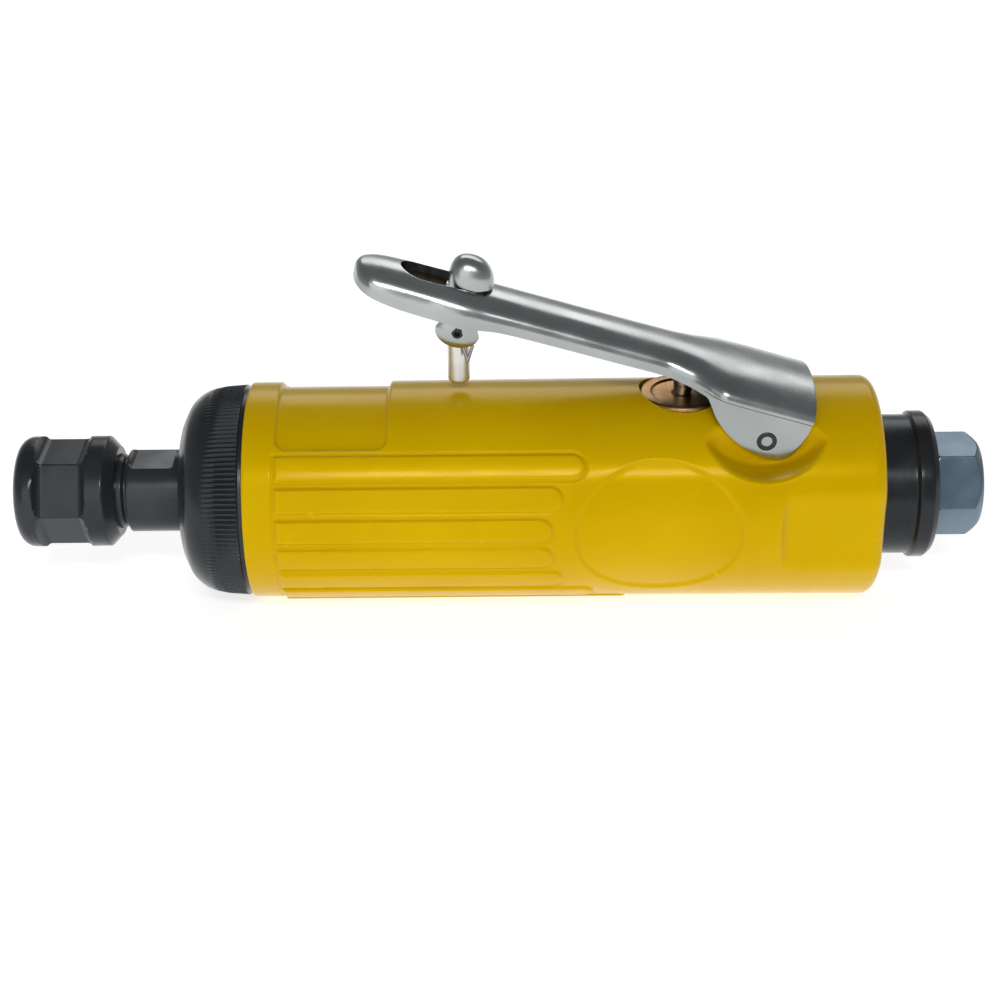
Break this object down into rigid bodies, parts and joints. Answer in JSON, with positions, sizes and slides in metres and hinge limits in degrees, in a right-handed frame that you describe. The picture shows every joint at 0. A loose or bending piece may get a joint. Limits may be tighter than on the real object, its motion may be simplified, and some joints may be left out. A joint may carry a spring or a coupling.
{
  "type": "die grinder",
  "caption": "Straight pneumatic die grinder with a collet nose, ribbed round body, throttle lever with safety latch, and a rear exhaust deflector round the air inlet.",
  "frame": {"origin": "centre of the collet's mouth, on the spindle axis at the nose face", "axes": "+X along the spindle axis towards the air inlet, +Z towards the throttle lever, +Y completes the right-handed frame"},
  "size_m": [0.17, 0.0392, 0.0635],
  "materials": {
    "yellow_paint": "gloss",
    "black_oxide": "satin",
    "chrome_plate": "polished",
    "spring_steel": "satin",
    "ground_steel": "satin",
    "bushing_brass": "satin",
    "black_rubber": "matte",
    "vane_composite": "matte",
    "cage_polymer": "matte",
    "cast_iron": "matte",
    "gasket_fibre": "matte",
    "felt": "matte"
  },
  "bodies": {
    "housing": {"housing": "yellow_paint", "clamp_nut": "black_oxide", "front_dust_seal": "black_rubber", "spacer_ring": "ground_steel", "front_end_plate": "cast_iron", "motor_cylinder": "cast_iron", "cylinder_dowels": "ground_steel", "rear_end_plate": "cast_iron", "rear_gasket": "gasket_fibre", "front_bearing_outer_race": "ground_steel", "rear_bearing_outer_race": "ground_steel", "valve_bushing": "bushing_brass", "bushing_o_ring": "black_rubber", "valve_spring": "spring_steel", "lever_pin": "black_oxide", "inlet_bushing": "black_oxide", "inlet_seal": "black_rubber", "inlet_screen": "bushing_brass"},
    "rotor": {"rotor": "ground_steel", "rotor_vanes": "vane_composite", "spindle": "black_oxide", "front_bearing_inner_race": "ground_steel", "rear_bearing_inner_race": "ground_steel"},
    "front_cage": {"front_bearing_cage": "cage_polymer", "front_bearing_balls": "ground_steel"},
    "rear_cage": {"rear_bearing_cage": "cage_polymer", "rear_bearing_balls": "ground_steel"},
    "collet": {"collet": "spring_steel"},
    "collet_nut": {"collet_nut": "black_oxide"},
    "lever": {"throttle_lever": "chrome_plate", "latch_pin": "black_oxide"},
    "latch": {"safety_latch": "chrome_plate", "latch_spring": "spring_steel"},
    "valve_stem": {"valve_stem": "ground_steel", "valve_seal": "black_rubber"},
    "deflector": {"exhaust_deflector": "black_oxide", "muffler_felt": "felt"}
  },
  "joints": [
    {"name": "rotor_spin", "type": "hinge", "parent": "housing", "child": "rotor", "pos_m": [0.0541, 0, 0], "axis": [1, 0, 0], "continuous": true},
    {"name": "front_cage_orbit", "type": "hinge", "parent": "housing", "child": "front_cage", "pos_m": [0.0541, 0, 0], "axis": [1, 0, 0], "continuous": true},
    {"name": "rear_cage_orbit", "type": "hinge", "parent": "housing", "child": "rear_cage", "pos_m": [0.1025, 0, 0], "axis": [1, 0, 0], "continuous": true},
    {"name": "collet_slide", "type": "slide", "parent": "rotor", "child": "collet", "axis": [-1, 0, 0], "range_m": [0, 0.003]},
    {"name": "collet_nut_turn", "type": "hinge", "parent": "collet", "child": "collet_nut", "pos_m": [0.0085, 0, 0], "axis": [-1, 0, 0], "range_deg": [0, 1081]},
    {"name": "lever_press", "type": "hinge", "parent": "housing", "child": "lever", "pos_m": [0.1307, 0, 0.0142], "axis": [0, -1, 0], "range_deg": [0, 4.5], "stiffness_Nm_per_rad": 0.5, "springref_deg": -5.73},
    {"name": "latch_fold", "type": "hinge", "parent": "lever", "child": "latch", "pos_m": [0.0783, 0, 0.0323], "axis": [0, -1, 0], "range_deg": [0, 48.01]},
    {"name": "valve_stem_slide", "type": "slide", "parent": "housing", "child": "valve_stem", "axis": [0, 0, -1], "range_m": [0, 0.0012], "deforming": ["valve_spring"]},
    {"name": "deflector_turn", "type": "hinge", "parent": "housing", "child": "deflector", "pos_m": [0.156, 0, 0], "axis": [1, 0, 0], "continuous": true}
  ],
  "couplings": [
    {"joint": "front_cage_orbit", "follows": "rotor_spin", "ratio": 0.381},
    {"joint": "rear_cage_orbit", "follows": "rotor_spin", "ratio": 0.368},
    {"joint": "collet_nut_turn", "follows": "collet_slide", "rad_per_m": 6283.2},
    {"joint": "latch_fold", "follows": "lever_press", "ratio": 10.667},
    {"joint": "valve_stem_slide", "follows": "lever_press", "m_per_rad": 0.0152}
  ]
}
